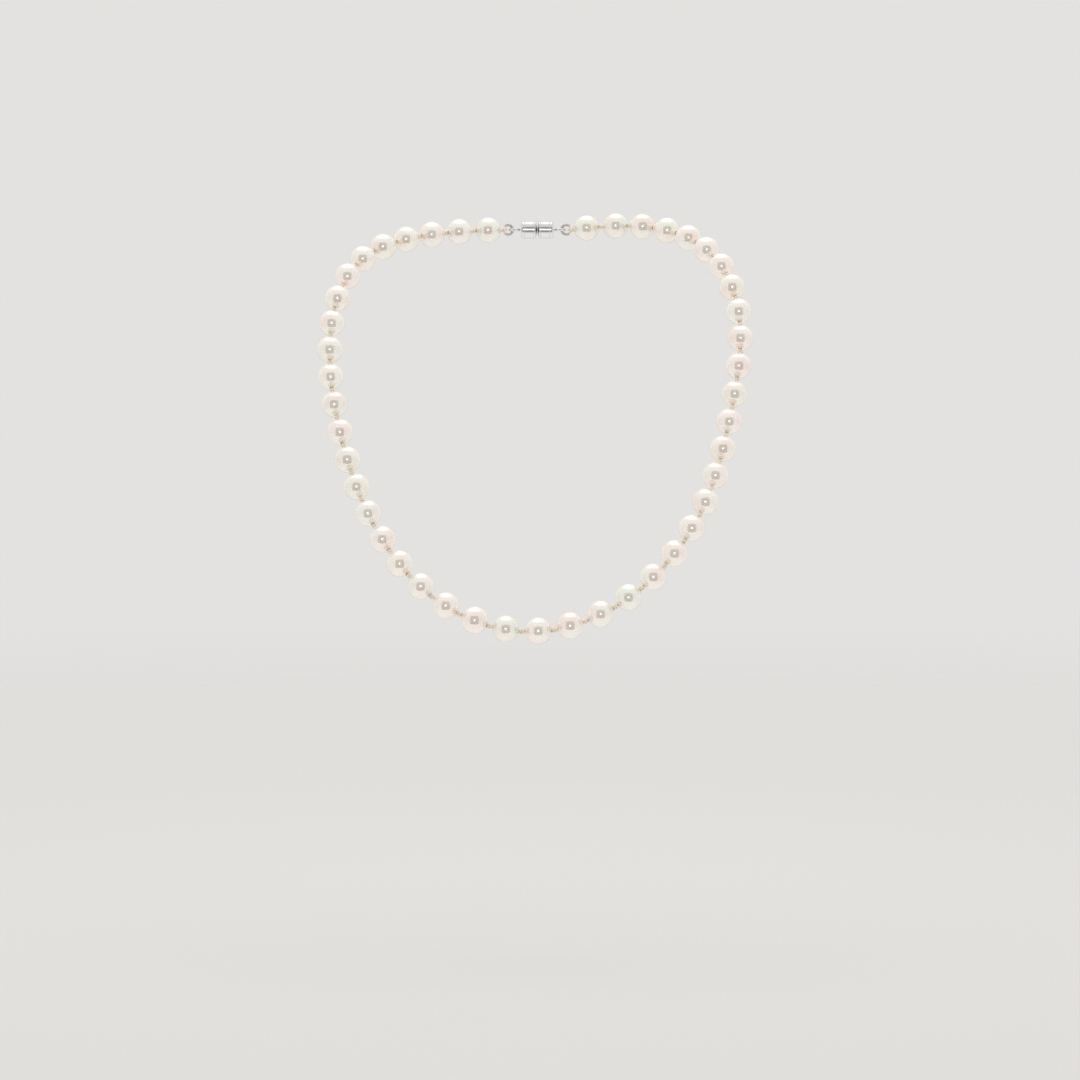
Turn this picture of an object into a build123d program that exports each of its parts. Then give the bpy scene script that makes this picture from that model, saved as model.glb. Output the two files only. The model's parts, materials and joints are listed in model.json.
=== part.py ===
from build123d import *
import os
from math import asin, cos, sin, sqrt

# Pearl necklace: one strand of round pearls, knotted on silk, closed at the nape by a magnetic clasp.
# All lengths are millimetres. +Z is up, -Y is the front of the neck and +X is to the right, seen from the
# front. The origin is on the axis of the neck, level with the clasp. The strand lies as it is worn: down
# over the chest at the front, up past the collar bones, and round the back of the neck.

# ---- Driving dimensions ----

PEARLS = 45
PEARL_DIAMETER = 7.5
DRILL_DIAMETER = 0.9

SILK_DIAMETER = 0.5
KNOT_DIAMETER = 1.4
SILK_LOOP_RADIUS = 1.4  # centre line of the loop of silk that holds each eyelet

GIMP_OUTER_DIAMETER = 0.9  # the gimp is the tube of fine coiled wire round each silk loop
GIMP_INNER_DIAMETER = 0.56
GIMP_ARC = 260  # degrees of the silk loop that the gimp covers, with the knot at the middle of the rest
GIMP_KNOT_REACH = 2.95  # from the gimp's far side, where the eyelet hangs, back to the end knot

BARREL_DIAMETER = 5.0
BARREL_WALL = 0.5
BARREL_BACK = 3.2  # where the barrel starts, from the point that the clasp half swings about
FACE_REACH = 7.0  # from that point to the middle of the meeting face, which is a sphere about it
FACE_GAP = 0.06  # between the two meeting faces, at their middle
BORE_END = 6.35  # the flat floor of the barrel's bore, behind the meeting face
BARREL_RIM_RADIUS = 0.25

MAGNET_THICKNESS = 1.75
SEAT_CLEARANCE = 0.04  # round the magnet, the cap's spigot and the eyelet's shank

CAP_BACK = 2.35  # the cap's outermost point towards the eyelet
CAP_SPIGOT_LENGTH = 0.95
CAP_EDGE_RADIUS = 0.6

EYELET_WIRE_DIAMETER = 0.8
EYELET_RING_RADIUS = 1.3  # centre line of the eyelet's ring
EYELET_CENTRE = 0.4  # from the point that the clasp half swings about
RIVET_DIAMETER = 1.8
RIVET_THICKNESS = 0.25

# Where the strand passes on its way round the neck, from the left end knot to the right one.
NAPE = 35  # how far the clasp lies behind the axis of the neck
HALF_CLASP = GIMP_KNOT_REACH + FACE_REACH + FACE_GAP / 2
LEFT_SIDE = [
    (-35, 23.5, -2),  # back of the neck
    (-51.5, 7.5, -9.5),  # side of the neck
    (-58, -8.5, -27),  # over the collar bone
    (-54.5, -27.5, -57),
    (-40.5, -45.5, -87.5),
    (-24.5, -53, -102.5),
]
THROAT = (-1, -55, -109)  # the lowest point of the strand
RIGHT_SIDE = [
    (25.5, -53.5, -99.5),
    (43, -46, -80.5),
    (53.5, -27.5, -52),
    (56.5, -8.5, -21),  # over the collar bone
    (49, 7.5, -6),  # side of the neck
    (35, 23.5, 0.5),  # back of the neck
]
LEFT_END = (-HALF_CLASP, NAPE, 0)
RIGHT_END = (HALF_CLASP, NAPE, 0)

HALVINGS = 30  # how often a search halves the stretch that it looks in
PITCH_RANGE = (0.9, 1.05)  # the pitch to look for, in shares of the route's length per pearl

LEFT, RIGHT = "left", "right"


# ---- The strand's route and its knots ----


def halved(low, high, is_low):
    """The value between low and high where is_low turns false, found by halving the stretch between them."""
    for _ in range(HALVINGS):
        middle = (low + high) / 2
        low, high = (middle, high) if is_low(middle) else (low, middle)
    return (low + high) / 2


def step_along(route, start, reach):
    """The route's parameter where it is first `reach` away, in a straight line, from its point at `start`."""
    here = route.position_at(start, PositionMode.PARAMETER)

    def is_near(at):
        return (route.position_at(at, PositionMode.PARAMETER) - here).length < reach

    return halved(start, start + 2 * reach / route.length, is_near)


def steps_along(route, pitch):
    """The route's parameters at the left end knot and after each step of `pitch`, one for each pearl."""
    steps = [0.0]
    for _ in range(PEARLS):
        steps.append(step_along(route, steps[-1], pitch))
    return steps


def knots_on(route):
    """Knots one pitch apart, with the pitch that brings the last one to the route's end."""
    shortest, longest = (share * route.length / PEARLS for share in PITCH_RANGE)
    pitch = halved(shortest, longest, lambda trial: steps_along(route, trial)[-1] < 1)
    return [route.position_at(at, PositionMode.PARAMETER) for at in steps_along(route, pitch)]


# ---- Pearls ----


def pearl(start, end):
    """A round pearl half way between two knots, drilled along the line from one to the other."""
    place = Plane(origin=(start + end) / 2, z_dir=end - start)
    drilled = Sphere(PEARL_DIAMETER / 2) - Cylinder(DRILL_DIAMETER / 2, 2 * PEARL_DIAMETER)
    return place * drilled


# ---- Silk ----


def silk_run(start, end):
    """The silk that passes through one pearl."""
    place = Plane(origin=(start + end) / 2, z_dir=end - start)
    return place * Cylinder(SILK_DIAMETER / 2, (end - start).length)


def silk_knot(before, knot, after):
    """A knot, turned so that the silk enters and leaves it near its poles."""
    return Plane(origin=knot, z_dir=after - before) * Sphere(KNOT_DIAMETER / 2)


def loop_centre(side):
    """The middle of the silk loop, in line with the clasp and just past the end knot."""
    from_nape = FACE_GAP / 2 + FACE_REACH + SILK_LOOP_RADIUS
    return Vector(-from_nape if side == LEFT else from_nape, NAPE, 0)


def silk_loop(side):
    """The loop of silk that the eyelet hangs on. It stands upright, square to the eyelet."""
    upright = Plane(origin=loop_centre(side), z_dir=(0, 1, 0))
    return upright * Torus(SILK_LOOP_RADIUS, SILK_DIAMETER / 2)


def silk_thread(knots):
    """The whole silk: a run through each pearl, a knot beside each pearl and a loop at each end."""
    along = [loop_centre(LEFT), *knots, loop_centre(RIGHT)]
    runs = [silk_run(start, end) for start, end in zip(knots, knots[1:])]
    tied = [silk_knot(*three) for three in zip(along, along[1:], along[2:])]
    return Part() + [*runs, *tied, silk_loop(LEFT), silk_loop(RIGHT)]


# ---- Gimp ----


def gimp(side):
    """The wire tube round the silk loop, open towards the end knot."""
    middle_angle = 0 if side == LEFT else 180
    flat = Plane(origin=loop_centre(side), x_dir=(1, 0, 0), z_dir=(0, -1, 0))
    path = flat * CenterArc((0, 0), SILK_LOOP_RADIUS, middle_angle - GIMP_ARC / 2, GIMP_ARC)
    end = Plane(origin=path @ 0, z_dir=path % 0)
    section = Circle(GIMP_OUTER_DIAMETER / 2) - Circle(GIMP_INNER_DIAMETER / 2)
    return sweep(end * section, path=path)


# ---- Clasp, one half modelled about its swing point, with its meeting face towards +X ----


def turned(outline):
    """The solid that a closed outline of lines and arcs sweeps when it turns about the X axis."""
    return revolve(make_face([edge for line in outline for edge in line.edges()]), Axis.X)


def bar(start, length, radius):
    """A round bar or disc along the X axis."""
    return Plane(origin=(start, 0, 0), z_dir=(1, 0, 0)) * extrude(Circle(radius), length)


def barrel():
    """The cup of one clasp half. Its closed end is the meeting face."""
    outer, bore = BARREL_DIAMETER / 2, BARREL_DIAMETER / 2 - BARREL_WALL
    half_turn = asin(outer / FACE_REACH) / 2
    rim = (sqrt(FACE_REACH**2 - outer**2), outer)
    on_dome = (FACE_REACH * cos(half_turn), FACE_REACH * sin(half_turn))
    face_middle = (FACE_REACH, 0)
    dome = ThreePointArc(rim, on_dome, face_middle)
    inside = Polyline(face_middle, (BORE_END, 0), (BORE_END, bore), (BARREL_BACK, bore))
    outside = Polyline((BARREL_BACK, bore), (BARREL_BACK, outer), rim)
    cup = turned([dome, inside, outside])
    outer_rims = cup.edges().filter_by(lambda edge: edge.is_closed).group_by(SortBy.RADIUS)[-1]
    return fillet(outer_rims.sort_by(Axis.X)[-1], BARREL_RIM_RADIUS)


def magnet():
    """The disc magnet sealed in the barrel, against the floor of its bore."""
    radius = BARREL_DIAMETER / 2 - BARREL_WALL - SEAT_CLEARANCE
    back = BORE_END - SEAT_CLEARANCE - MAGNET_THICKNESS
    return bar(back, MAGNET_THICKNESS, radius)


def cap():
    """The domed plug that closes the barrel, drilled for the eyelet's shank."""
    outer, spigot = BARREL_DIAMETER / 2, BARREL_DIAMETER / 2 - BARREL_WALL - SEAT_CLEARANCE
    hole = EYELET_WIRE_DIAMETER / 2 + SEAT_CLEARANCE
    spigot_end = BARREL_BACK + CAP_SPIGOT_LENGTH
    outline = Polyline(
        (CAP_BACK, hole),
        (CAP_BACK, outer),
        (BARREL_BACK - SEAT_CLEARANCE, outer),
        (BARREL_BACK - SEAT_CLEARANCE, spigot),
        (spigot_end, spigot),
        (spigot_end, hole),
        (CAP_BACK, hole),
    )
    plug = turned([outline])
    back_edges = plug.edges().filter_by(GeomType.CIRCLE).group_by(Axis.X)[0]
    return fillet(back_edges.sort_by(SortBy.RADIUS)[-1], CAP_EDGE_RADIUS)


def eyelet():
    """A ring that lies level, on a shank that passes through the cap and is riveted behind it."""
    ring = Pos(EYELET_CENTRE, 0, 0) * Torus(EYELET_RING_RADIUS, EYELET_WIRE_DIAMETER / 2)
    shank_start = EYELET_CENTRE + EYELET_RING_RADIUS
    rivet_start = BARREL_BACK + CAP_SPIGOT_LENGTH + SEAT_CLEARANCE
    shank = bar(shank_start, rivet_start - shank_start, EYELET_WIRE_DIAMETER / 2)
    head = bar(rivet_start, RIVET_THICKNESS, RIVET_DIAMETER / 2)
    return ring + shank + head


def fitted(part, side):
    """One half's piece at the nape: the left half as it is modelled, the right half its mirror image."""
    at_left = Pos(-FACE_REACH - FACE_GAP / 2, NAPE, 0) * part
    return at_left if side == LEFT else mirror(at_left, about=Plane.YZ)


# ---- The necklace ----


def main():
    os.makedirs("parts", exist_ok=True)
    route = Spline(LEFT_END, *LEFT_SIDE, THROAT, *RIGHT_SIDE, RIGHT_END)
    knots = knots_on(route)
    pitch = (knots[1] - knots[0]).length
    print(f"pitch {pitch:.3f} mm, gap between pearls {pitch - PEARL_DIAMETER:.3f} mm")
    print(f"length of the strand, clasp included, {PEARLS * pitch + 2 * HALF_CLASP:.1f} mm")

    for number, (start, end) in enumerate(zip(knots, knots[1:]), 1):
        export_step(pearl(start, end), f"parts/pearl_{number:02d}.step")
    export_step(silk_thread(knots), "parts/silk_thread.step")

    clasp_pieces = {"barrel": barrel(), "magnet": magnet(), "cap": cap(), "eyelet": eyelet()}
    for side in (LEFT, RIGHT):
        export_step(gimp(side), f"parts/{side}_gimp.step")
        for name, piece in clasp_pieces.items():
            export_step(fitted(piece, side), f"parts/{side}_clasp_{name}.step")


main()
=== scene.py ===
# %% [markdown]
# # A pearl necklace, closed at the nape
# One strand of round pearls on knotted silk, with a small magnetic clasp. The necklace hangs as it is worn:
# down over the chest at the front and level with the nape at the back. The frame gives every piece its place,
# so no piece here is fitted by eye. The frame is loaded first. The finished model must not outgrow it.

# %% Load the frame
import json
import math
import random

import bpy
from mathutils import Matrix, Vector

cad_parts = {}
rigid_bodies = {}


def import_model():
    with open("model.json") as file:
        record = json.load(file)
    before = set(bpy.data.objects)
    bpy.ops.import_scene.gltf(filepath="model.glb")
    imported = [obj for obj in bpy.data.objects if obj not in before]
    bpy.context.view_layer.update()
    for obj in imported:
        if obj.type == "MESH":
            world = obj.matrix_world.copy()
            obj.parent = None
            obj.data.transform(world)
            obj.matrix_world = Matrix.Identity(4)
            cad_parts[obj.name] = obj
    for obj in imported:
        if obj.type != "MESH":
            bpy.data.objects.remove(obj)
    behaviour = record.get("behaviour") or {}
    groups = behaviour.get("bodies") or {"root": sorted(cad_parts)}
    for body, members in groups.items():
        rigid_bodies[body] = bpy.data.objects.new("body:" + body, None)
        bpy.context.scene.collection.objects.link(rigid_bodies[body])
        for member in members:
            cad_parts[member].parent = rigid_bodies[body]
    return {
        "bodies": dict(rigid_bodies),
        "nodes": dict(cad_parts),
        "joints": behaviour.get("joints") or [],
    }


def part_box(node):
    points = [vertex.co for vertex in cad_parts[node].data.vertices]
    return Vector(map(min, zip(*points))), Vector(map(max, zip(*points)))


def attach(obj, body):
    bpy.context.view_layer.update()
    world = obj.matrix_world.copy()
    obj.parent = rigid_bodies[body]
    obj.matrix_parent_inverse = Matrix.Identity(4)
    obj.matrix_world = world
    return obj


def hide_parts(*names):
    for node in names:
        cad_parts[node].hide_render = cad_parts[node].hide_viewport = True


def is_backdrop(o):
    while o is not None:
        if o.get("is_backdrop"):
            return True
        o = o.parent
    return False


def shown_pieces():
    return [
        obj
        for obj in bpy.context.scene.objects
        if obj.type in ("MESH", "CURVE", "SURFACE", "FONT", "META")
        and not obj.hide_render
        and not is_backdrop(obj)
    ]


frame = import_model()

MM = 0.001
scene = bpy.context.scene
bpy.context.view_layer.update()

# %% [markdown]
# ## Where the knots are
# The hinges of the frame sit in the knots: one between each pair of pearls, and one where the silk meets the
# gimp at each end. Reading them from the joints is better than writing them down again, because the strand
# then follows the frame if its route ever changes. A pearl lies half way between its two knots.

# %% Read the knots and the pearls from the joints
pearls = sorted(name for name in frame["bodies"] if name.startswith("pearl_"))
knots = [None] * (len(pearls) + 1)
for joint in frame["joints"]:
    place = Vector(joint["pos_m"])
    if joint["child"] == "left_gimp":
        knots[0] = place
    elif joint["child"] == "right_gimp":
        knots[-1] = place
    elif joint["child"] in pearls:
        knots[max(pearls.index(joint["parent"]), pearls.index(joint["child"]))] = place
pitch = (knots[1] - knots[0]).length
low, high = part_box("pearl_23")
PEARL_DIAMETER = max(high - low)
print(len(pearls), "pearls of", round(PEARL_DIAMETER / MM, 2), "mm,", round(pitch / MM, 2), "mm apart")

# %% [markdown]
# ## Camera
# A necklace on a bust is looked at from the front, a little from above, through a long lens: it keeps the
# round of the strand from being drawn wider at the front than at the neck. The camera aims at a point inside
# the loop, above the lowest pearl.

# %% Set up the camera
CAMERA_ELEVATION = math.radians(4)
CAMERA_DISTANCE = 1.3
CAMERA_LENS = 158.9  # mm, on a sensor as wide as film
SENSOR_WIDTH = 36  # mm
AIM_RIGHT_OF_NECK = 0.0008
AIM_BEHIND_LOWEST_PEARL = 0.0012
AIM_ABOVE_LOWEST_PEARL = 0.0247

lowest_pearl = (low + high) / 2
aim = Vector((AIM_RIGHT_OF_NECK, lowest_pearl.y, lowest_pearl.z))
aim += Vector((0, AIM_BEHIND_LOWEST_PEARL, AIM_ABOVE_LOWEST_PEARL))
towards_camera = Vector((0, -math.cos(CAMERA_ELEVATION), math.sin(CAMERA_ELEVATION)))
lens = bpy.data.cameras.new("camera")
lens.lens = CAMERA_LENS
lens.sensor_width = SENSOR_WIDTH
camera = bpy.data.objects.new("camera", lens)
camera.location = aim + CAMERA_DISTANCE * towards_camera
camera.rotation_euler = (math.radians(90) - CAMERA_ELEVATION, 0, 0)
scene.collection.objects.link(camera)
scene.camera = camera
print("camera at", [round(x, 4) for x in camera.location])

# %% [markdown]
# ## Helpers for nodes
# Materials, the studio and the geometry are all node trees, so one small function adds a node to any of
# them. Inputs go by name, or by number where a name is shared: a Mix node set to RGBA takes its colours at 6
# and 7 and gives its result at output 2. Colours are written as sRGB hex values, as in a paint chart, and
# turned to the linear values that shaders work in.


# %% Helpers for nodes and colours
def linear(hex_colour):
    """The linear RGBA of an sRGB colour such as #F4EDE4."""
    channels = [int(hex_colour[i : i + 2], 16) / 255 for i in (1, 3, 5)]
    return [c / 12.92 if c <= 0.04045 else ((c + 0.055) / 1.055) ** 2.4 for c in channels] + [1]


def add(tree, kind, inputs=None, stops=(), **settings):
    """Adds a node. An input is a constant, an output, or a node, whose first output it takes.

    A Color Ramp also takes stops, which are pairs of a position and a colour or a grey level."""
    node = tree.nodes.new(kind)
    for name, value in settings.items():
        setattr(node, name, value)
    for number, (position, colour) in enumerate(stops):
        elements = node.color_ramp.elements
        element = elements[number] if number < len(elements) else elements.new(position)
        element.position = position
        element.color = linear(colour) if isinstance(colour, str) else (colour, colour, colour, 1)
    for name, value in (inputs or {}).items():
        if isinstance(value, bpy.types.Node):
            value = value.outputs[0]
        if isinstance(value, bpy.types.NodeSocket):
            tree.links.new(value, node.inputs[name])
        else:
            node.inputs[name].default_value = value
    return node


# %% [markdown]
# ## The studio
# Pearls are mirrors with a soft voice: most of what the eye takes for their colour is the room. Here the room
# is a white tent with a square opening for the lens. The tent makes the bodies of the pearls bright and even.
# The opening is the small dark spot that each one carries at its middle, with the lamp at the lens as a
# bright dot in it, and the brightest patch of the tent, overhead, is the white glow on their shoulders. The
# camera itself sees a plain grey backdrop in place of the tent.

# %% Build the tent
TENT_WHITE = 0.94
TENT_FLOOR = 1.15
GLOW_BRIGHTNESS = 1.6
GLOW_EDGE, GLOW_CORE = 0.91, 0.975  # heights in the tent, from 0 underfoot to 1 in the middle of the glow
GLOW_LEAN = math.radians(20)  # how far the glow overhead leans towards the back
OPENING_HALF_WIDTH = 0.76  # tangent of the half angle that the opening takes up, seen from the necklace
OPENING_SOFTNESS = 0.1
OPENING_DARK = "#B0A89E"
BACK_OPENING = 0.35  # how much of the dark the opening at the back lets in
LAMP_HALF_WIDTH = 0.13
LAMP_BRIGHTNESS = 2.4
BACKDROP = "#E3E2E0"

world = bpy.data.worlds.new("white_tent")
scene.world = world
world.use_nodes = True
tent = world.node_tree
tent.nodes.clear()
direction = add(tent, "ShaderNodeTexCoord").outputs["Generated"]
glow_axis = (0, math.sin(GLOW_LEAN), math.cos(GLOW_LEAN))
upwards = add(tent, "ShaderNodeVectorMath", {0: direction, 1: glow_axis}, operation="DOT_PRODUCT")
height = add(
    tent, "ShaderNodeMapRange", {"Value": upwards.outputs["Value"], "From Min": -1.0, "From Max": 1.0}
)
walls = add(
    tent,
    "ShaderNodeValToRGB",
    {0: height},
    stops=[(0, TENT_FLOOR), (0.5, TENT_WHITE), (GLOW_EDGE, TENT_WHITE), (GLOW_CORE, GLOW_BRIGHTNESS)],
)
walls.color_ramp.interpolation = "EASE"
print("tent walls from", TENT_WHITE, "to", GLOW_BRIGHTNESS, "in the glow")

# %% Cut the opening for the lens
parts = add(tent, "ShaderNodeSeparateXYZ", {0: direction})
ahead = add(tent, "ShaderNodeMath", {0: parts.outputs["Y"], 1: -1.0}, operation="MULTIPLY")
flat = add(tent, "ShaderNodeVectorMath", {0: direction, 1: ahead}, operation="DIVIDE")
lens_place = (0, 0, math.tan(CAMERA_ELEVATION))
centred = add(tent, "ShaderNodeVectorMath", {0: flat, 1: lens_place}, operation="SUBTRACT")
off_middle = add(tent, "ShaderNodeVectorMath", {0: centred}, operation="ABSOLUTE")
sideways = add(tent, "ShaderNodeSeparateXYZ", {0: off_middle})
off_square = add(
    tent, "ShaderNodeMath", {0: sideways.outputs["X"], 1: sideways.outputs["Z"]}, operation="MAXIMUM"
)
in_front = add(tent, "ShaderNodeMath", {0: ahead, 1: 0.0}, operation="GREATER_THAN")
dark_share = add(tent, "ShaderNodeMapRange", {"Value": in_front, "To Min": BACK_OPENING, "To Max": 1.0})
opening = add(
    tent,
    "ShaderNodeMapRange",
    {
        "Value": off_square,
        "From Min": OPENING_HALF_WIDTH + OPENING_SOFTNESS / 2,
        "From Max": OPENING_HALF_WIDTH - OPENING_SOFTNESS / 2,
    },
    interpolation_type="SMOOTHSTEP",
)
lamp = add(tent, "ShaderNodeMath", {0: off_square, 1: LAMP_HALF_WIDTH}, operation="LESS_THAN")
opening_here = add(tent, "ShaderNodeMath", {0: opening, 1: dark_share}, operation="MULTIPLY")
lamp_here = add(tent, "ShaderNodeMath", {0: lamp, 1: in_front}, operation="MULTIPLY")
with_opening = add(
    tent, "ShaderNodeMix", {0: opening_here, 6: walls, 7: linear(OPENING_DARK)}, data_type="RGBA"
)
lamp_colour = [LAMP_BRIGHTNESS] * 3 + [1]
with_lamp = add(
    tent, "ShaderNodeMix", {0: lamp_here, 6: with_opening.outputs[2], 7: lamp_colour}, data_type="RGBA"
)
light = add(tent, "ShaderNodeBackground", {"Color": with_lamp.outputs[2]})
backdrop = add(tent, "ShaderNodeBackground", {"Color": linear(BACKDROP)})
seen = add(tent, "ShaderNodeLightPath").outputs["Is Camera Ray"]
shown = add(tent, "ShaderNodeMixShader", {0: seen, 1: light, 2: backdrop})
add(tent, "ShaderNodeOutputWorld", {"Surface": shown})
print("tent built with", len(tent.nodes), "nodes")

# %% Hang the softbox
SOFTBOX_PLACE = (0, 0.06, 0.55)
SOFTBOX_SIZE = (0.5, 0.42)
SOFTBOX_POWER = 0.9

overhead = bpy.data.lights.new("overhead_softbox", "AREA")
overhead.shape = "RECTANGLE"
overhead.size, overhead.size_y = SOFTBOX_SIZE
overhead.energy = SOFTBOX_POWER
softbox = bpy.data.objects.new("overhead_softbox", overhead)
softbox.location = SOFTBOX_PLACE
softbox.visible_glossy = False  # the tent's glow is the highlight, so a second one would be too many
scene.collection.objects.link(softbox)
scene.view_settings.view_transform = "Standard"
print("softbox at", SOFTBOX_PLACE, "m")

# %% Lay the floor
FLOOR_HEIGHT = -0.2
FLOOR_HALF_WIDTH = 3.0
FADE_START, FADE_END = 0.25, 1.1  # the paper fades into the backdrop between these distances
PAPER_GRAIN = 1 / 900  # m: matt paper with a fine fibre, drawn coarser than life so that it shows


def new_material(name):
    """An empty material, ready for its nodes."""
    material = bpy.data.materials.new(name)
    material.use_nodes = True
    material.node_tree.nodes.clear()
    return material


paper = new_material("studio_paper")
tree = paper.node_tree
place = add(tree, "ShaderNodeTexCoord").outputs["Object"]
away = add(tree, "ShaderNodeVectorMath", {0: place}, operation="LENGTH").outputs["Value"]
fade = add(
    tree,
    "ShaderNodeMapRange",
    {"Value": away, "From Min": FADE_START, "From Max": FADE_END},
    interpolation_type="SMOOTHSTEP",
)
fibre = add(tree, "ShaderNodeTexNoise", {"Vector": place, "Scale": 1 / PAPER_GRAIN, "Detail": 3.0})
tint = add(
    tree, "ShaderNodeMix", {0: fibre, 6: linear("#D1D0CE"), 7: linear("#D7D6D4")}, data_type="RGBA"
)
matt = add(tree, "ShaderNodeBsdfDiffuse", {"Color": tint.outputs[2]})
clear = add(tree, "ShaderNodeBsdfTransparent")
faded = add(tree, "ShaderNodeMixShader", {0: fade, 1: matt, 2: clear})
add(tree, "ShaderNodeOutputMaterial", {"Surface": faded})

floor_mesh = bpy.data.meshes.new("floor")
corner_signs = ((-1, -1), (1, -1), (1, 1), (-1, 1))
corners = [(x * FLOOR_HALF_WIDTH, y * FLOOR_HALF_WIDTH, FLOOR_HEIGHT) for x, y in corner_signs]
floor_mesh.from_pydata(corners, [], [(0, 1, 2, 3)])
floor_mesh.materials.append(paper)
floor = bpy.data.objects.new("floor", floor_mesh)
floor.visible_glossy = False
scene.collection.objects.link(floor)
floor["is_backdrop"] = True
print("floor at", FLOOR_HEIGHT, "m")

# %% [markdown]
# ## Nacre
# Nacre is plates of aragonite, each about half a thousandth of a millimetre thick, laid down in thousands
# of layers. Light comes back from many layers at once, so a pearl reflects far more than glass does, and yet
# has a white body. The material stands between the two: part metal for the strong reflection that starts
# just under the skin, part white body, under one thin clear coat for the polished skin. Aragonite's index
# lies between 1.53 and 1.69, so the body takes 1.6. Soft clouds of rose and green are the overtones, and each
# pearl also has a tone of its own, because a matched strand never matches quite.

# %% Make the nacre
CLOUD_WIDTH = 4.5 * MM  # a patch of one overtone on a pearl
OVERTONE_SHARE = 0.4
GROWTH_GRAIN = 0.35 * MM  # the edges of the nacre's layers, coarser than life, where they would not show

nacre = new_material("nacre_polished_layered_aragonite")
tree = nacre.node_tree
place = add(tree, "ShaderNodeTexCoord").outputs["Object"]
tone = add(tree, "ShaderNodeAttribute", attribute_name="tone")
body_colour = add(
    tree,
    "ShaderNodeValToRGB",
    {0: tone.outputs["Fac"]},
    stops=[(0, "#FAF0EB"), (0.35, "#F9F3EC"), (0.7, "#F7F1E6"), (1, "#F3F3EB")],
)
clouds = add(tree, "ShaderNodeTexNoise", {"Vector": place, "Scale": 1 / CLOUD_WIDTH, "Detail": 1.0})
overtone = add(
    tree,
    "ShaderNodeValToRGB",
    {0: clouds},
    stops=[(0.36, "#F6E1D9"), (0.5, "#FAF3EA"), (0.64, "#EBF1E6")],
)
nacre_colour = add(
    tree, "ShaderNodeMix", {0: OVERTONE_SHARE, 6: body_colour, 7: overtone}, data_type="RGBA"
)
grain = add(tree, "ShaderNodeTexNoise", {"Vector": place, "Scale": 1 / GROWTH_GRAIN, "Detail": 4.0})
lustre = add(
    tree,
    "ShaderNodeMapRange",
    {"Value": clouds, "From Min": 0.3, "From Max": 0.7, "To Min": 0.11, "To Max": 0.17},
)
skin = add(tree, "ShaderNodeBump", {"Height": grain, "Strength": 0.06, "Distance": 0.01 * MM})
nacre_shader = add(
    tree,
    "ShaderNodeBsdfPrincipled",
    {
        "Base Color": nacre_colour.outputs[2],
        "Metallic": 0.42,
        "Roughness": lustre,
        "Normal": skin,
        "IOR": 1.6,
        "Coat Weight": 0.35,
        "Coat Roughness": 0.06,
        "Coat IOR": 1.55,
    },
)
add(tree, "ShaderNodeOutputMaterial", {"Surface": nacre_shader})
print(nacre.name, "has", len(tree.nodes), "nodes")

# %% [markdown]
# ## Pearls
# A driller bores each pearl right through with a 0.9 mm bit and breaks the sharp edge of the hole, so that
# it does not cut the silk. The ball with its bore is turned like a lathe piece: one closed outline, spun
# round the drill's axis. That keeps the mouth of the hole clean, where a boolean cut would leave slivers.
# Geometry Nodes then make 45 different pearls from the one ball: each is put in place, and given its own
# size, its own slight lack of roundness, faint growth rings, and its own tone.

# %% Turn one drilled ball
DRILL_RADIUS = 0.45 * MM
MOUTH_CHAMFER = 0.07 * MM
BALL_STEPS = 72
ARC_POINTS = 44


def turn(name, outline, steps):
    """A closed mesh: a closed outline of (distance from the axis, height) points, turned about Z."""
    count = len(outline)
    angles = [2 * math.pi * step / steps for step in range(steps)]
    points = [(r * math.cos(a), r * math.sin(a), z) for a in angles for r, z in outline]
    faces = []
    for step in range(steps):
        here, there = step * count, (step + 1) % steps * count
        for i in range(count):
            j = (i + 1) % count
            faces.append((here + i, there + i, there + j, here + j))
    mesh = bpy.data.meshes.new(name)
    mesh.from_pydata(points, [], faces)
    return mesh


radius = PEARL_DIAMETER / 2
mouth = math.asin((DRILL_RADIUS + MOUTH_CHAMFER) / radius)
arc = [mouth + (math.pi - 2 * mouth) * i / (ARC_POINTS - 1) for i in range(ARC_POINTS)]
outline = [(radius * math.sin(a), -radius * math.cos(a)) for a in arc]
bore_half = radius * math.cos(mouth) - MOUTH_CHAMFER
outline += [(DRILL_RADIUS, bore_half), (DRILL_RADIUS, 0), (DRILL_RADIUS, -bore_half)]
ball = turn("drilled_ball", outline, BALL_STEPS)
print("drilled ball:", len(ball.polygons), "faces")

# %% Helpers for Geometry Nodes trees
TREE_INPUTS = {float: "NodeSocketFloat", int: "NodeSocketInt", tuple: "NodeSocketVector"}
SHARP_EDGE = math.radians(50)  # edges that turn more than this stay sharp


def new_tree(name, inputs):
    """A Geometry Nodes tree with named inputs, and its Group Input node."""
    tree = bpy.data.node_groups.new(name, "GeometryNodeTree")
    tree.interface.new_socket("Geometry", in_out="INPUT", socket_type="NodeSocketGeometry")
    for label, value in inputs.items():
        is_material = isinstance(value, bpy.types.Material)
        kind = "NodeSocketMaterial" if is_material else TREE_INPUTS[type(value)]
        tree.interface.new_socket(label, in_out="INPUT", socket_type=kind).default_value = value
    tree.interface.new_socket("Geometry", in_out="OUTPUT", socket_type="NodeSocketGeometry")
    return tree, tree.nodes.new("NodeGroupInput").outputs


def end_tree(tree, geometry, material):
    """Ends a tree with real geometry that has its material."""
    real = add(tree, "GeometryNodeRealizeInstances", {"Geometry": geometry})
    smooth = add(tree, "GeometryNodeSetShadeSmooth", {"Geometry": real})
    dressed = add(tree, "GeometryNodeSetMaterial", {"Geometry": smooth, "Material": material})
    add(tree, "NodeGroupOutput", {0: dressed})


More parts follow.
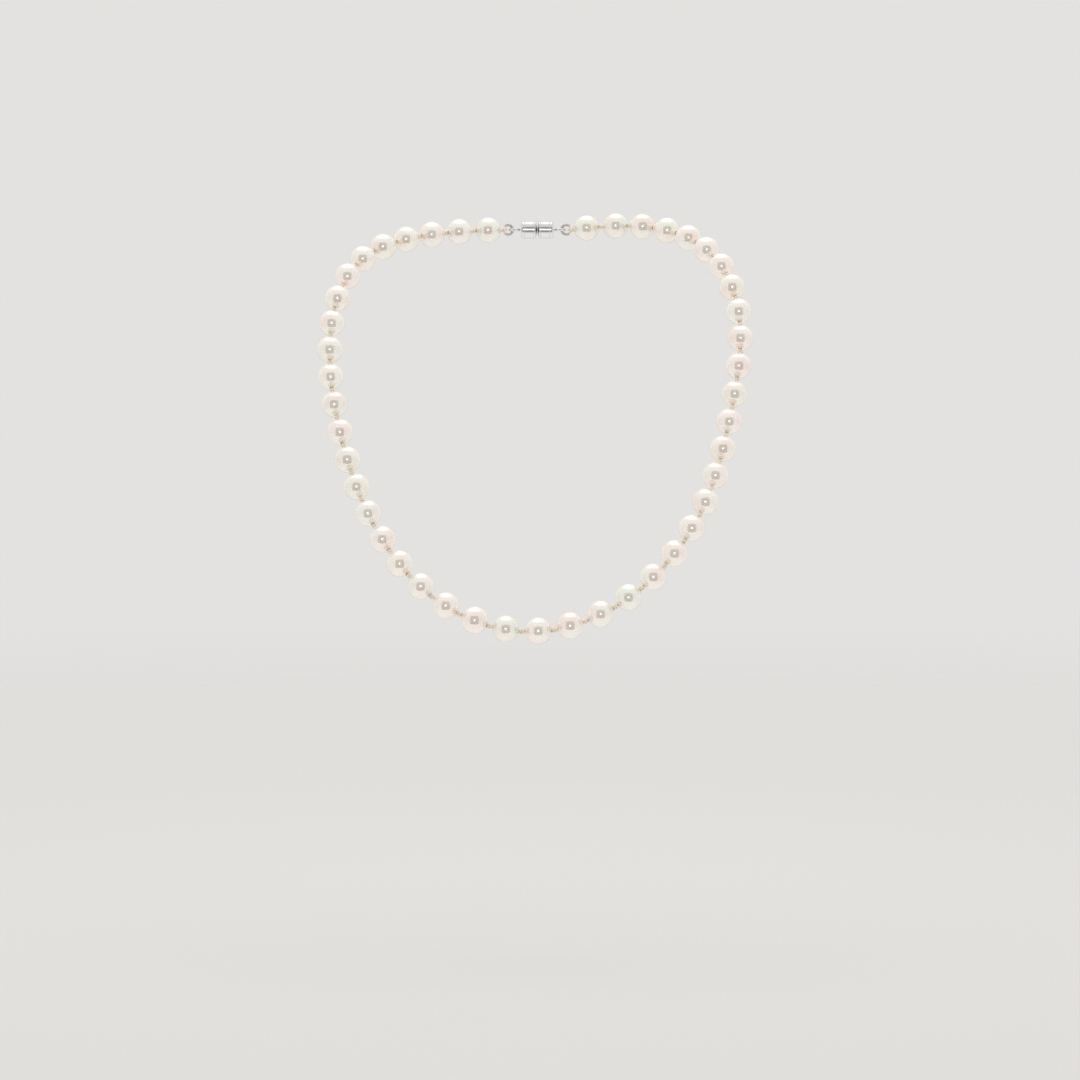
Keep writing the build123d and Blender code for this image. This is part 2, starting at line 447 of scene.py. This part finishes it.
def grow(name, data, tree, body, slot, **values):
    """Runs a tree on some data with its own input values, and keeps the plain mesh as a body's piece."""
    source = bpy.data.objects.new("source", data)
    scene.collection.objects.link(source)
    modifier = source.modifiers.new("tree", "NODES")
    modifier.node_group = tree
    for item in tree.interface.items_tree:
        if item.in_out == "INPUT" and item.name in values:
            modifier[item.identifier] = values[item.name]
    evaluated = source.evaluated_get(bpy.context.evaluated_depsgraph_get())
    mesh = bpy.data.meshes.new_from_object(evaluated)
    bpy.data.objects.remove(source)
    mesh.name = name
    mesh.set_sharp_from_angle(angle=SHARP_EDGE)
    piece = bpy.data.objects.new(name, mesh)
    scene.collection.objects.link(piece)
    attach(piece, body)
    return piece


# %% [markdown]
# ## One tree for 45 pearls
# The tree pushes the ball's skin in a little: by a slow noise for the lack of roundness, and by bands round
# the drill's axis for the growth rings, because a driller lines the hole up with them. It only pushes
# inwards, so no pearl outgrows its place.

# %% Grow the tree that makes a pearl from the ball
LUMP_WIDTH = 8 * MM
HIGHEST_LUMP = 0.75  # the noise stays below this
RING_SCALE = 1 / (14 * MM)

pearl_tree, given = new_tree(
    "drilled_pearl",
    {
        "Size": 1.0,
        "Unroundness": 0.04 * MM,
        "Ring_depth": 0.004 * MM,
        "Seed": 0.0,
        "Tone": 0.5,
        "Place": (0.0, 0.0, 0.0),
        "Along": (0.0, 0.0, 1.0),
        "Turn": 0.0,
        "Material": nacre,
    },
)
tree = pearl_tree
here = add(tree, "GeometryNodeInputPosition")
lumps = add(
    tree,
    "ShaderNodeTexNoise",
    {"Vector": here, "W": given["Seed"], "Scale": 1 / LUMP_WIDTH, "Detail": 0.0},
    noise_dimensions="4D",
)
lump = add(tree, "ShaderNodeMath", {0: lumps, 1: HIGHEST_LUMP}, operation="SUBTRACT")
lump_height = add(tree, "ShaderNodeMath", {0: lump, 1: given["Unroundness"]}, operation="MULTIPLY")
rings = add(
    tree,
    "ShaderNodeTexWave",
    {
        "Vector": here,
        "Scale": RING_SCALE,
        "Distortion": 1.5,
        "Detail": 1.0,
        "Phase Offset": given["Seed"],
    },
    bands_direction="Z",
)
ring = add(tree, "ShaderNodeMath", {0: rings.outputs["Fac"], 1: 1.0}, operation="SUBTRACT")
ring_height = add(tree, "ShaderNodeMath", {0: ring, 1: given["Ring_depth"]}, operation="MULTIPLY")
rise = add(tree, "ShaderNodeMath", {0: lump_height, 1: ring_height}, operation="ADD")
outwards = add(tree, "ShaderNodeVectorMath", {0: here}, operation="NORMALIZE")
shift = add(tree, "ShaderNodeVectorMath", {0: outwards, "Scale": rise}, operation="SCALE")
grown = add(tree, "GeometryNodeSetPosition", {"Geometry": given["Geometry"], "Offset": shift})
toned = add(
    tree,
    "GeometryNodeStoreNamedAttribute",
    {"Geometry": grown, "Name": "tone", "Value": given["Tone"]},
    data_type="FLOAT",
)
spun = add(tree, "FunctionNodeAxisAngleToRotation", {"Axis": (0, 0, 1), "Angle": given["Turn"]})
lined_up = add(
    tree, "FunctionNodeAlignRotationToVector", {"Rotation": spun, "Vector": given["Along"]}, axis="Z"
)
place_and_turn = {"Translation": given["Place"], "Rotation": lined_up, "Scale": given["Size"]}
placed = add(tree, "GeometryNodeTransform", {"Geometry": toned, **place_and_turn})
end_tree(tree, placed, given["Material"])
print(tree.name, "has", len(tree.nodes), "nodes")

# %% Make the pearls
LEAST_SIZE = 0.985
draw = random.Random(11)
for number, body in enumerate(pearls):
    start, end = knots[number], knots[number + 1]
    piece = grow(
        body + "_nacre",
        ball,
        pearl_tree,
        body,
        "pearl",
        Size=draw.uniform(LEAST_SIZE, 1),
        Seed=draw.uniform(0, 50),
        Tone=draw.random(),
        Place=(start + end) / 2,
        Along=(end - start).normalized(),
        Turn=draw.uniform(0, 2 * math.pi),
    )
    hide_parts(body)
print("pearls made, the last with", len(piece.data.polygons), "faces")

# %% [markdown]
# ## Silk
# The thread is three plies of silk, twisted together. Between two pearls it is tied in an overhand knot,
# which is pushed up hard against the pearl with a needle. The knots keep the pearls from rubbing, and save
# them if the thread breaks. The path of a knot is a few points, smoothed by a NURBS spline. The tree
# lays three plies round any path, so one tree makes the runs through the pearls, the knots and the end
# loops. Undyed filament silk is cream beside the white pearls. It has a soft sheen, and up close the twist
# makes it look like a small rope.

# %% Make the silk's material
FILAMENT = 0.05 * MM  # several real filaments, drawn as one so that they show

silk_material = new_material("filament_silk_twisted_cream")
tree = silk_material.node_tree
place = add(tree, "ShaderNodeTexCoord").outputs["Object"]
fibres = add(tree, "ShaderNodeTexNoise", {"Vector": place, "Scale": 1 / FILAMENT, "Detail": 2.0})
silk_colour = add(
    tree, "ShaderNodeValToRGB", {0: fibres}, stops=[(0.3, "#FDEAD3"), (0.7, "#FFFAF0")]
)
silk_gloss = add(tree, "ShaderNodeMapRange", {"Value": fibres, "To Min": 0.35, "To Max": 0.55})
silk_grain = add(
    tree, "ShaderNodeBump", {"Height": fibres, "Strength": 0.35, "Distance": 0.02 * MM}
)
silk_shader = add(
    tree,
    "ShaderNodeBsdfPrincipled",
    {
        "Base Color": silk_colour,
        "Roughness": silk_gloss,
        "Normal": silk_grain,
        "IOR": 1.54,
        "Sheen Weight": 0.5,
        "Sheen Roughness": 0.35,
    },
)
add(tree, "ShaderNodeOutputMaterial", {"Surface": silk_shader})
print(silk_material.name, "has", len(tree.nodes), "nodes")

# %% Grow the tree that twists silk along a path
SILK_DIAMETER = 0.5 * MM
DOUBLED_SILK = 0.64 * MM  # the thread is doubled where it is knotted
PLY_SHARE = 0.27  # a ply's radius, as a share of the thread's diameter
PLY_FACETS = 7  # sides of a ply's section


def even_path(tree, given):
    """The path that a tree is given, as a curve with points one step apart."""
    path = add(tree, "GeometryNodeMeshToCurve", {"Mesh": given["Geometry"]})
    return add(tree, "GeometryNodeResampleCurve", {"Curve": path, "Length": given["Step"]}, mode="LENGTH")


def wound(tree, strands, start, lay, reach, radius, facets):
    """Round strands, wound about their path at a reach from it, with one turn in each lay."""
    along = add(tree, "GeometryNodeSplineParameter").outputs["Length"]
    turns = add(tree, "ShaderNodeMath", {0: along, 1: lay}, operation="DIVIDE")
    phase = add(tree, "ShaderNodeMath", {0: turns, 1: start}, operation="ADD")
    angle = add(tree, "ShaderNodeMath", {0: phase, 1: 2 * math.pi}, operation="MULTIPLY")
    normal = add(tree, "GeometryNodeInputNormal")
    tangent = add(tree, "GeometryNodeInputTangent")
    swung = add(tree, "ShaderNodeVectorRotate", {"Vector": normal, "Axis": tangent, "Angle": angle})
    shift = add(tree, "ShaderNodeVectorMath", {0: swung, "Scale": reach}, operation="SCALE")
    laid = add(tree, "GeometryNodeSetPosition", {"Geometry": strands, "Offset": shift})
    section = add(tree, "GeometryNodeCurvePrimitiveCircle", {"Resolution": facets, "Radius": radius})
    swept = {"Curve": laid, "Profile Curve": section, "Fill Caps": True}
    return add(tree, "GeometryNodeCurveToMesh", swept)


silk_tree, given = new_tree(
    "twisted_silk",
    {
        "Thread_diameter": SILK_DIAMETER,
        "Plies": 3,
        "Lay": 1.7 * MM,
        "Step": 0.11 * MM,
        "Material": silk_material,
    },
)
tree = silk_tree
plies = add(
    tree,
    "GeometryNodeDuplicateElements",
    {"Geometry": even_path(tree, given), "Amount": given["Plies"]},
    domain="SPLINE",
)
number = plies.outputs["Duplicate Index"]
start = add(tree, "ShaderNodeMath", {0: number, 1: given["Plies"]}, operation="DIVIDE")
diameter = given["Thread_diameter"]
ply_radius = add(tree, "ShaderNodeMath", {0: diameter, 1: PLY_SHARE}, operation="MULTIPLY")
reach = add(tree, "ShaderNodeMath", {0: diameter, 1: 0.5 - PLY_SHARE}, operation="MULTIPLY")
twisted = wound(tree, plies, start, given["Lay"], reach, ply_radius, PLY_FACETS)
end_tree(tree, twisted, given["Material"])
print(tree.name, "has", len(tree.nodes), "nodes")

# %% Tie the knots
KNOT_PATH = [  # in thread diameters, with the strand along Z
    (0, 0, -1.8),
    (0.05, -0.1, -1.1),
    (0.25, -0.2, 0),
    (0.35, -0.1, 0.6),
    (0.2, 0.55, 0.95),
    (-0.5, 0.6, 0.75),
    (-0.85, 0.05, 0.5),
    (-0.55, -0.7, 0.3),
    (0.25, -0.9, 0.1),
    (0.85, -0.35, -0.05),
    (0.8, 0.45, -0.2),
    (0.15, 0.9, -0.35),
    (-0.6, 0.7, -0.5),
    (-0.9, 0, -0.6),
    (-0.6, -0.6, -0.8),
    (0, -0.8, -0.85),
    (0.55, -0.45, -0.9),
    (0.35, 0.15, -0.7),
    (-0.15, 0.15, -0.2),
    (-0.25, 0.2, 0.4),
    (-0.15, 0.1, 1),
    (0, 0, 1.8),
]


def wire_path(routes):
    """A mesh of bare edges that follows smooth splines through lists of control points."""
    curve = bpy.data.curves.new("path", "CURVE")
    curve.dimensions = "3D"
    for points in routes:
        spline = curve.splines.new("NURBS")
        spline.points.add(len(points) - 1)
        for point, place in zip(spline.points, points):
            point.co = (*place, 1)
        spline.order_u = min(4, len(points))
        spline.use_endpoint_u = True
        spline.resolution_u = 6
    holder = bpy.data.objects.new("path", curve)
    scene.collection.objects.link(holder)
    evaluated = holder.evaluated_get(bpy.context.evaluated_depsgraph_get())
    mesh = bpy.data.meshes.new_from_object(evaluated)
    bpy.data.objects.remove(holder)
    return mesh


def knot_route(number, spin):
    """The path of one knot, in line with the pearls beside it and turned about that line by `spin`."""
    before = knots[max(number - 1, 0)]
    after = knots[min(number + 1, len(knots) - 1)]
    line = (after - before).to_track_quat("Z", "Y").to_matrix().to_4x4()
    place = Matrix.Translation(knots[number]) @ line @ Matrix.Rotation(spin, 4, "Z")
    return [place @ (Vector(point) * DOUBLED_SILK) for point in KNOT_PATH]


draw = random.Random(5)
for number, body in enumerate(pearls):
    through = wire_path([[knots[number], knots[number + 1]]])
    run = grow(body + "_silk", through, silk_tree, body, "silk")
    tied = [number, number + 1] if body == pearls[-1] else [number]
    routes = [knot_route(knot, draw.uniform(0, 2 * math.pi)) for knot in tied]
    tied_path = wire_path(routes)
    knot = grow(body + "_knot", tied_path, silk_tree, body, "silk", Thread_diameter=DOUBLED_SILK)
    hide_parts("silk_thread")
    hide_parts("silk_thread")
print("a run of silk has", len(run.data.polygons), "faces, and a knot", len(knot.data.polygons))

# %% [markdown]
# ## Gimps and end loops
# Where the silk passes through an eyelet it would soon wear through, so it runs inside a gimp: a tube coiled
# from silver-plated wire as fine as a hair. The coil is a helix round the loop's path, wound by the same
# function as the plies of the silk, with one strand and a far shorter lay. To the eye it is a ribbed,
# slightly warm silver tube, duller than the clasp because drawn wire is not polished.

# %% Make the coiled wire
GIMP_OUTER_RADIUS = 0.45 * MM
GIMP_WIRE = 0.1 * MM
GIMP_LAY = 0.112 * MM
GIMP_STEPS_PER_TURN = 12
GIMP_WIRE_FACETS = 6
GIMP_ARC = math.radians(260)
LOOP_RADIUS = 1.4 * MM
LOOP_POINTS = 32
HAZE_WIDTH = 1.5 * MM  # a patch of slightly duller plate
SIDES = (("left", 1), ("right", -1))  # each side of the neck, and which way along X its clasp lies


def plated(name, base, roughness, brushed, scratch_width):
    """A plated metal: its colour clouds a little, and fine polishing marks break its reflections."""
    material = new_material(name)
    tree = material.node_tree
    place = add(tree, "ShaderNodeTexCoord").outputs["Object"]
    haze = add(tree, "ShaderNodeTexNoise", {"Vector": place, "Scale": 1 / HAZE_WIDTH, "Detail": 3.0})
    stretched = add(tree, "ShaderNodeMapping", {"Vector": place, "Scale": (1, brushed, brushed)})
    marks = add(
        tree, "ShaderNodeTexNoise", {"Vector": stretched, "Scale": 1 / scratch_width, "Detail": 4.0}
    )
    shade = add(
        tree, "ShaderNodeMix", {0: haze, 6: linear(base[0]), 7: linear(base[1])}, data_type="RGBA"
    )
    gloss = add(
        tree, "ShaderNodeMapRange", {"Value": haze, "To Min": roughness[0], "To Max": roughness[1]}
    )
    relief = add(
        tree, "ShaderNodeBump", {"Height": marks, "Strength": 0.25, "Distance": 0.01 * MM}
    )
    shader = add(
        tree,
        "ShaderNodeBsdfPrincipled",
        {"Base Color": shade.outputs[2], "Metallic": 1.0, "Roughness": gloss, "Normal": relief},
    )
    add(tree, "ShaderNodeOutputMaterial", {"Surface": shader})
    return material


gimp_wire = plated("silver_plated_drawn_wire", ("#D9D6D0", "#ECEAE6"), (0.16, 0.3), 1, 0.2 * MM)
gimp_tree, given = new_tree(
    "coiled_gimp",
    {
        "Wire_diameter": GIMP_WIRE,
        "Outer_radius": GIMP_OUTER_RADIUS,
        "Lay": GIMP_LAY,
        "Step": GIMP_LAY / GIMP_STEPS_PER_TURN,
        "Material": gimp_wire,
    },
)
tree = gimp_tree
wire_radius = add(tree, "ShaderNodeMath", {0: given["Wire_diameter"], 1: 0.5}, operation="MULTIPLY")
reach = add(tree, "ShaderNodeMath", {0: given["Outer_radius"], 1: wire_radius}, operation="SUBTRACT")
coiled = wound(tree, even_path(tree, given), 0.0, given["Lay"], reach, wire_radius, GIMP_WIRE_FACETS)
end_tree(tree, coiled, given["Material"])
print(tree.name, "has", len(tree.nodes), "nodes")

# %% Lay the gimps and the silk's end loops
for side, inwards in SIDES:
    low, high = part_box(side + "_gimp")
    far_side = high.x if side == "left" else low.x
    centre = Vector((far_side - inwards * (LOOP_RADIUS + GIMP_OUTER_RADIUS), (low.y + high.y) / 2, 0))
    angles = [GIMP_ARC * (i / (LOOP_POINTS - 1) - 0.5) for i in range(LOOP_POINTS)]
    on_loop = [Vector((inwards * math.cos(a), 0, math.sin(a))) for a in angles]
    arc_mesh = bpy.data.meshes.new("arc")
    edges = [(i, i + 1) for i in range(LOOP_POINTS - 1)]
    arc_mesh.from_pydata([centre + LOOP_RADIUS * p for p in on_loop], edges, [])
    coil = grow(side + "_gimp_coil", arc_mesh, gimp_tree, side + "_gimp", "gimp_wire")
    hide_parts(side + "_gimp")
    knot = knots[0] if side == "left" else knots[-1]
    loop_path = wire_path([[knot, *(centre + LOOP_RADIUS * p for p in on_loop), knot]])
    loop = grow(side + "_silk_loop", loop_path, silk_tree, side + "_gimp", "silk")
    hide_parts("silk_thread")
    print(side, "gimp coil:", len(coil.data.polygons), "faces; silk loop:", len(loop.data.polygons))

# %% [markdown]
# ## Clasp
# The clasp is turned silver with a bright rhodium plate, and each half holds a sealed disc magnet. Its
# shapes are right in the frame already, so they keep their meshes and only get their finish. A row of tiny
# grains, called milgrain, is rolled round both ends of each barrel with a knurled wheel. It is the one
# decoration. Rhodium gives the eye a cool, bright mirror, and the marks of the polishing wheel run round the
# barrel and soften it. Nickel plate on the magnets is warmer and duller.

# %% Finish the metal
rhodium = plated("rhodium_plated_polished_silver", ("#CFCFD1", "#DEDEDF"), (0.07, 0.16), 6, 0.3 * MM)
nickel = plated("nickel_plated_neodymium", ("#B4B1AB", "#C3C0BA"), (0.22, 0.34), 1, 0.2 * MM)
for name, node in frame["nodes"].items():
    if "_clasp_" in name:
        node.data.materials.clear()
        node.data.materials.append(nickel if name.endswith("magnet") else rhodium)

# %% Roll the milgrain
GRAIN_DIAMETER = 0.3 * MM
GRAINS = 44
GRAIN_INSET = 0.24 * MM
RING_RADIUS = 2.45 * MM  # the grains sit half sunk in the barrel, which is 5 mm across
DOME_DEPTH = 0.462 * MM  # from the middle of the meeting face back to its rim
RIM_RADIUS = 0.25 * MM

milgrain_tree, given = new_tree(
    "milgrain",
    {
        "Grain_diameter": GRAIN_DIAMETER,
        "Grains": GRAINS,
        "Ring_radius": RING_RADIUS,
        "Material": rhodium,
    },
)
tree = milgrain_tree
centres = add(tree, "GeometryNodeMeshToPoints", {"Mesh": given["Geometry"]})
ring_size = {"Resolution": given["Grains"], "Radius": given["Ring_radius"]}
ring = add(tree, "GeometryNodeCurvePrimitiveCircle", ring_size)
rings = add(
    tree,
    "GeometryNodeInstanceOnPoints",
    {"Points": centres, "Instance": ring, "Rotation": (0, math.pi / 2, 0)},
)
spots = add(tree, "GeometryNodeRealizeInstances", {"Geometry": rings})
grain_radius = add(tree, "ShaderNodeMath", {0: given["Grain_diameter"], 1: 0.5}, operation="MULTIPLY")
grain = add(tree, "GeometryNodeMeshIcoSphere", {"Radius": grain_radius, "Subdivisions": 2})
grains = add(tree, "GeometryNodeInstanceOnPoints", {"Points": spots, "Instance": grain})
end_tree(tree, grains, given["Material"])

for side, inwards in SIDES:
    low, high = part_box(side + "_clasp_barrel")
    back, face = (low.x, high.x) if side == "left" else (high.x, low.x)
    middle = (low + high) / 2
    rim_inset = DOME_DEPTH + RIM_RADIUS + GRAIN_INSET
    ends = [back + inwards * GRAIN_INSET, face - inwards * rim_inset]
    centres_mesh = bpy.data.meshes.new("ring_centres")
    centres_mesh.from_pydata([(x, middle.y, middle.z) for x in ends], [], [])
    piece = grow(side + "_clasp_milgrain", centres_mesh, milgrain_tree, side + "_clasp", "clasp_metal")
    print(side, "milgrain:", len(piece.data.polygons), "faces")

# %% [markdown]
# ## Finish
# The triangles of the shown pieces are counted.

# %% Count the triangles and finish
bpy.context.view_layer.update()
meshes = [piece.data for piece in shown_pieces() if piece.type == "MESH"]
print("triangles:", sum(len(face.vertices) - 2 for mesh in meshes for face in mesh.polygons))
